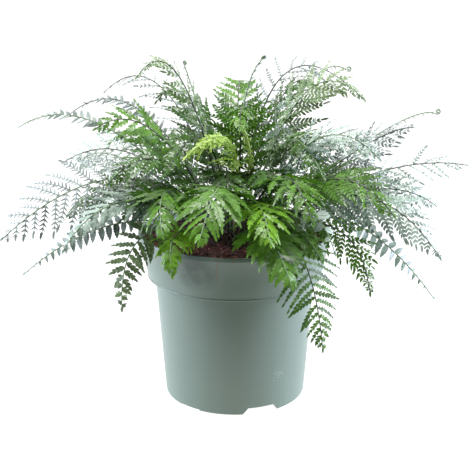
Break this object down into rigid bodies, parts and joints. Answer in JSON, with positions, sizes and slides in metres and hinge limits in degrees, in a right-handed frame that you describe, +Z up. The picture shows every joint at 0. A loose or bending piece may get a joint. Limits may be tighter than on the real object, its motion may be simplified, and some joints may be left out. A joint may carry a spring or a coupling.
{
  "type": "potted fern",
  "caption": "Fern with arching, finely divided fronds and coiled young fronds, rooted in soil in a round plastic nursery pot with a deep collar and a notched foot.",
  "frame": {"origin": "on the floor under the pot's axis, which is within a few millimetres of the middle of the whole plant's box", "axes": "+Z up, the front of the plant towards -Y, +X along its widest spread"},
  "size_m": [0.4542, 0.3128, 0.3372],
  "materials": {
    "pot": "satin sage grey-green moulded plastic",
    "soil": "rough dark brown fibrous potting soil",
    "crown": "dark brown scaly rhizome",
    "frond_green": "mid green leaf, satin above, paler below",
    "frond_bright": "bright green leaf, glossy",
    "frond_glaucous": "bluish green leathery leaf",
    "frond_young": "yellow-green soft young leaf",
    "crozier": "pale green stem with brown scales"
  },
  "bodies": {
    "root": {"pot": "pot", "soil": "soil", "crown": "crown", "frond_left_wide": "frond_green", "frond_left_upper_1": "frond_glaucous", "frond_left_upper_2": "frond_glaucous", "frond_left_upper_3": "frond_green", "frond_top_left": "frond_green", "frond_left_high": "frond_green", "frond_left_middle": "frond_green", "frond_left_inner": "frond_green", "frond_left_dense": "frond_green", "frond_left_low": "frond_glaucous", "frond_left_hanging": "frond_bright", "frond_rim_left": "frond_bright", "frond_top_right": "frond_green", "frond_upper_right": "frond_green", "frond_right_long": "frond_green", "frond_right_middle": "frond_green", "frond_right_wide": "frond_green", "frond_right_dense": "frond_green", "frond_right_low": "frond_glaucous", "frond_right_inner": "frond_green", "frond_front_right_hanging": "frond_green", "frond_right_hanging": "frond_green", "frond_centre_broad": "frond_bright", "frond_centre_left": "frond_green", "frond_centre_right": "frond_green", "frond_front_broad": "frond_bright", "frond_centre_young": "frond_young", "frond_front_right_single": "frond_glaucous", "frond_right_upper_front": "frond_green", "frond_left_front_middle": "frond_bright", "frond_centre_high": "frond_green", "frond_centre_high_right": "frond_green", "frond_centre_high_left": "frond_green", "frond_centre_low": "frond_green", "frond_right_fill": "frond_green", "frond_left_fill": "frond_green", "frond_centre_front": "frond_bright", "frond_centre_deep_left": "frond_green", "frond_centre_deep_right": "frond_green", "frond_rim_right": "frond_bright", "frond_back_low_1": "frond_green", "frond_back_low_2": "frond_green", "frond_back_low_3": "frond_green", "frond_back_low_4": "frond_green", "frond_back_middle_1": "frond_green", "frond_back_middle_2": "frond_green", "frond_back_middle_3": "frond_green", "frond_back_middle_4": "frond_green", "frond_back_high_1": "frond_green", "frond_back_high_2": "frond_green", "frond_back_high_3": "frond_green", "crozier_top_left": "crozier", "crozier_top": "crozier", "crozier_top_right": "crozier", "crozier_right": "crozier", "crozier_front": "crozier", "crozier_left": "crozier"}
  },
  "joints": []
}
